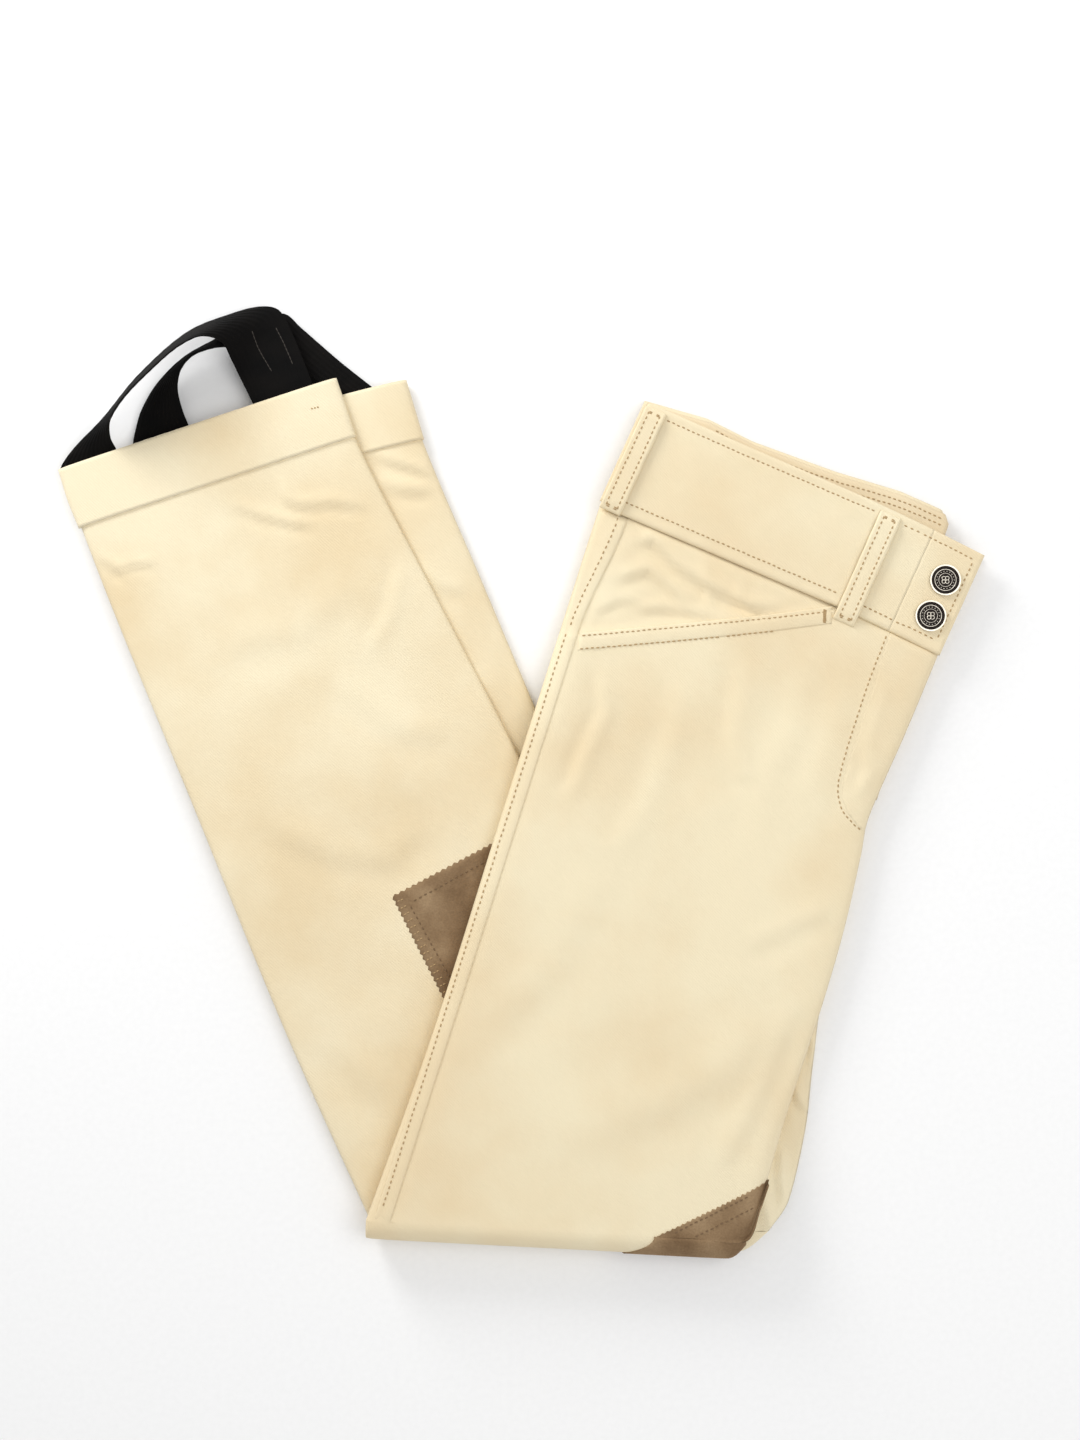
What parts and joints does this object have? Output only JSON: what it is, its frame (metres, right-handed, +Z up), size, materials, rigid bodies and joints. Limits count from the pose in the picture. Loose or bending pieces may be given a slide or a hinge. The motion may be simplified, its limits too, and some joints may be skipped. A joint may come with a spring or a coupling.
{
  "type": "folded riding breeches",
  "caption": "Riding breeches folded flat at the knee, with a snap waistband, slant pockets, suede knee patches and elastic stirrups.",
  "frame": {"origin": "middle of the footprint, on the surface that the folded garment lies on", "axes": "+Z up through the stack of plies; +Y roughly from the knee fold to the waist and hems; +X towards the fly"},
  "size_m": [0.5148, 0.5274, 0.0406],
  "materials": {
    "twill": "beige stretch twill, matt with a soft sheen",
    "lining": "pinkish beige inner fabric, matt",
    "suede": "brown suede with a short nap",
    "elastic": "black ribbed elastic webbing, matt",
    "snap_metal": "pale nickel, polished",
    "snap_enamel": "dark brown enamel, glossy",
    "zip_tape": "beige woven tape",
    "zip_metal": "brushed brass"
  },
  "bodies": {
    "lower_legs": {"left_hem_cuff": "twill", "left_knee_patch_lower": "suede", "left_shin_back_panel": "twill", "left_shin_front_panel": "twill", "left_strap_tabs": "elastic", "right_hem_cuff": "twill", "right_knee_patch_lower": "suede", "right_shin_back_panel": "twill", "right_shin_front_panel": "twill", "right_stirrup_strap": "elastic", "right_strap_tabs": "elastic"},
    "thighs": {"centre_back_belt_loop": "twill", "fly_underlap": "lining", "left_back_waistband": "twill", "left_front_belt_loop": "twill", "left_front_waistband": "twill", "left_hip_panel": "twill", "left_knee_patch_upper": "suede", "left_pocket_bag": "lining", "left_pocket_edge": "twill", "left_side_belt_loop": "twill", "left_thigh_back_panel": "twill", "left_thigh_front_panel": "twill", "left_zip_tape": "zip_tape", "left_zip_teeth": "zip_metal", "right_back_waistband": "twill", "right_front_belt_loop": "twill", "right_front_waistband": "twill", "right_hip_panel": "twill", "right_knee_patch_upper": "suede", "right_pocket_bag": "lining", "right_pocket_edge": "twill", "right_side_belt_loop": "twill", "right_thigh_back_panel": "twill", "right_thigh_front_panel": "twill", "right_zip_tape": "zip_tape", "right_zip_teeth": "zip_metal", "snap_studs": "snap_metal", "waistband_underlap": "lining", "zip_bottom_stop": "zip_metal"},
    "fly_flap": {"fly_placket": "twill", "waistband_tab": "twill", "snap_rims": "snap_metal", "snap_faces": "snap_enamel", "snap_sockets": "snap_metal"},
    "zip_slider": {"zip_slider": "zip_metal"},
    "zip_pull": {"zip_pull": "zip_metal"},
    "left_stirrup": {"left_stirrup_strap": "elastic"}
  },
  "joints": [
    {"name": "knee_fold", "type": "hinge", "parent": "lower_legs", "child": "thighs", "pos_m": [-0.08441, -0.25362, 0.01185], "axis": [0.9987, -0.0518, 0], "range_deg": [0, 180]},
    {"name": "fly_flap_turn", "type": "hinge", "parent": "thighs", "child": "fly_flap", "pos_m": [0.17227, -0.02137, 0.0117], "axis": [-0.304, -0.9527, 0], "range_deg": [0, 150]},
    {"name": "zip_slide", "type": "slide", "parent": "thighs", "child": "zip_slider", "axis": [-0.304, -0.9527, 0], "range_m": [0, 0.066]},
    {"name": "zip_pull_turn", "type": "hinge", "parent": "zip_slider", "child": "zip_pull", "pos_m": [0.21337, 0.06628, 0.0103], "axis": [-0.9527, 0.304, 0], "range_deg": [0, 90]},
    {"name": "left_stirrup_turn", "type": "hinge", "parent": "lower_legs", "child": "left_stirrup", "pos_m": [-0.25443, 0.17195, 0.0098], "axis": [0.9498, 0.3127, 0], "range_deg": [0, 90]}
  ],
  "couplings": [
    {"joint": "zip_pull_turn", "follows": "fly_flap_turn", "ratio": 0.6}
  ]
}
